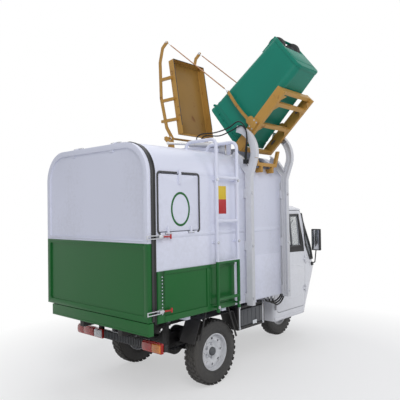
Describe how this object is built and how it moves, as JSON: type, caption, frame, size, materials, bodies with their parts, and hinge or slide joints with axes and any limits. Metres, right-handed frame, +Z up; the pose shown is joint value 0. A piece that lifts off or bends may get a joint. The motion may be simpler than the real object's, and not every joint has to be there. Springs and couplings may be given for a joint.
{
  "type": "garbage truck",
  "caption": "Three-wheeled electric refuse truck with a tipping box, side bin lift, roof hopper lid, ladder and small closed cab.",
  "frame": {"origin": "ground level under the middle of the whole part's bounding box", "axes": "+X towards the truck's front, +Y to its left, +Z up"},
  "size_m": [2.918, 1.8054, 3.179],
  "materials": {
    "white_paint": "satin",
    "green_paint": "satin",
    "yellow_paint": "satin",
    "black_paint": "satin",
    "bin_plastic": "matte",
    "dark_plastic": "matte",
    "cab_paint": "gloss",
    "black_rubber": "matte",
    "tyre_rubber": "matte",
    "rim_paint": "satin",
    "steel": "satin",
    "chrome_rod": "polished",
    "glazing": "polished",
    "seat_vinyl": "matte",
    "lamp_lens": "gloss"
  },
  "bodies": {
    "chassis": {"chassis_frame": "black_paint", "rear_axle": "black_paint", "mudguards": "dark_plastic", "battery_case": "dark_plastic", "pump_tank": "black_paint", "tail_beam": "black_paint", "lamps": "lamp_lens", "cab_floor": "dark_plastic", "cab_shell": "cab_paint", "cab_roof": "cab_paint", "cab_glass": "glazing", "dashboard": "dark_plastic", "driver_seat": "seat_vinyl", "mirrors": "dark_plastic"},
    "box": {"box_shell": "white_paint", "box_floor": "white_paint", "seals": "black_rubber", "door_hinges": "steel", "rear_skirt": "green_paint", "door_clamps": "steel", "ladder": "white_paint", "guide_rails": "white_paint", "sill_lip": "yellow_paint", "hopper_collar": "white_paint", "lid_lugs": "yellow_paint", "lid_ram_barrel": "steel", "hoses": "black_rubber", "control_valve": "steel"},
    "rear_door": {"rear_door": "white_paint"},
    "side_hatch": {"side_hatch": "white_paint"},
    "rollers": {"guide_rollers": "steel"},
    "bin_lift": {"bin_frame": "yellow_paint", "bin_tub": "bin_plastic", "bin_wheels": "tyre_rubber"},
    "lid": {"hopper_lid": "yellow_paint", "lid_arms": "yellow_paint"},
    "lid_rods": {"lid_rods": "steel"},
    "lid_ram": {"lid_ram_rod": "chrome_rod"},
    "door_right": {"cab_door_right": "cab_paint", "door_glass_right": "glazing"},
    "door_left": {"cab_door_left": "cab_paint", "door_glass_left": "glazing"},
    "steering": {"steering_fork": "black_paint"},
    "front_wheel": {"tyre_front": "tyre_rubber", "rim_front": "rim_paint"},
    "rear_wheel_right": {"tyre_right": "tyre_rubber", "rim_right": "rim_paint"},
    "rear_wheel_left": {"tyre_left": "tyre_rubber", "rim_left": "rim_paint"},
    "bed_ram": {"bed_ram_barrel": "black_paint"},
    "bed_rod": {"bed_ram_rod": "chrome_rod"}
  },
  "joints": [
    {"name": "box_tilt", "type": "hinge", "parent": "chassis", "child": "box", "pos_m": [-1.358, 0.24765, 0.632], "axis": [0, -1, 0], "range_deg": [0, 45]},
    {"name": "bed_ram_swing", "type": "hinge", "parent": "chassis", "child": "bed_ram", "pos_m": [-0.203, 0.24765, 0.47], "axis": [0, -1, 0], "range_deg": [-28, 0]},
    {"name": "bed_ram_stroke", "type": "slide", "parent": "bed_ram", "child": "bed_rod", "axis": [-0.9773, 0, 0.212], "range_m": [0, 0.346]},
    {"name": "rear_door", "type": "hinge", "parent": "box", "child": "rear_door", "pos_m": [-1.378, 0.24765, 1.978], "axis": [0, 1, 0], "range_deg": [0, 80]},
    {"name": "side_hatch", "type": "hinge", "parent": "box", "child": "side_hatch", "pos_m": [-1.433, -0.41535, 1.296], "axis": [1, 0, 0], "range_deg": [0, 100]},
    {"name": "bin_tip", "type": "hinge", "parent": "box", "child": "rollers", "pos_m": [-0.028, -0.457, 2.10066], "axis": [-1, 0, 0], "range_deg": [-133.4, 0]},
    {"name": "bin_lift", "type": "slide", "parent": "rollers", "child": "bin_lift", "axis": [0, -0.7266, 0.6871], "range_m": [0, 1.34]},
    {"name": "hopper_lid", "type": "hinge", "parent": "box", "child": "lid", "pos_m": [-0.028, 0.51265, 2.18], "axis": [-1, 0, 0], "range_deg": [-95, 0]},
    {"name": "lid_rod_fold", "type": "hinge", "parent": "bin_lift", "child": "lid_rods", "pos_m": [-0.028, -0.21035, 2.526], "axis": [-1, 0, 0], "range_deg": [0, 82.7]},
    {"name": "lid_ram_stroke", "type": "slide", "parent": "box", "child": "lid_ram", "axis": [0, 0.9911, 0.1334], "range_m": [0, 0.134]},
    {"name": "door_right", "type": "hinge", "parent": "chassis", "child": "door_right", "pos_m": [0.89, -0.29335, 0.775], "axis": [0, 0, 1], "range_deg": [0, 70]},
    {"name": "door_left", "type": "hinge", "parent": "chassis", "child": "door_left", "pos_m": [0.89, 0.78865, 0.775], "axis": [0, 0, -1], "range_deg": [0, 70]},
    {"name": "steering", "type": "hinge", "parent": "chassis", "child": "steering", "pos_m": [0.917, 0.24765, 0.85], "axis": [-0.3417, 0, 0.9398], "range_deg": [-35, 35]},
    {"name": "front_wheel", "type": "hinge", "parent": "steering", "child": "front_wheel", "pos_m": [1.127, 0.24765, 0.2725], "axis": [0, 1, 0], "continuous": true},
    {"name": "rear_wheel_right", "type": "hinge", "parent": "chassis", "child": "rear_wheel_right", "pos_m": [-0.583, -0.22985, 0.2725], "axis": [0, 1, 0], "continuous": true},
    {"name": "rear_wheel_left", "type": "hinge", "parent": "chassis", "child": "rear_wheel_left", "pos_m": [-0.583, 0.72515, 0.2725], "axis": [0, 1, 0], "continuous": true}
  ],
  "couplings": [
    {"joint": "bed_ram_swing", "follows": "box_tilt", "ratio": -0.618},
    {"joint": "bed_ram_stroke", "follows": "box_tilt", "m_per_rad": 0.4396},
    {"joint": "bin_lift", "follows": "bin_tip", "m_per_rad": -0.57549},
    {"joint": "hopper_lid", "follows": "bin_tip", "ratio": 0.7121},
    {"joint": "lid_rod_fold", "follows": "bin_tip", "ratio": -0.6195},
    {"joint": "lid_ram_stroke", "follows": "bin_tip", "m_per_rad": -0.0571}
  ]
}
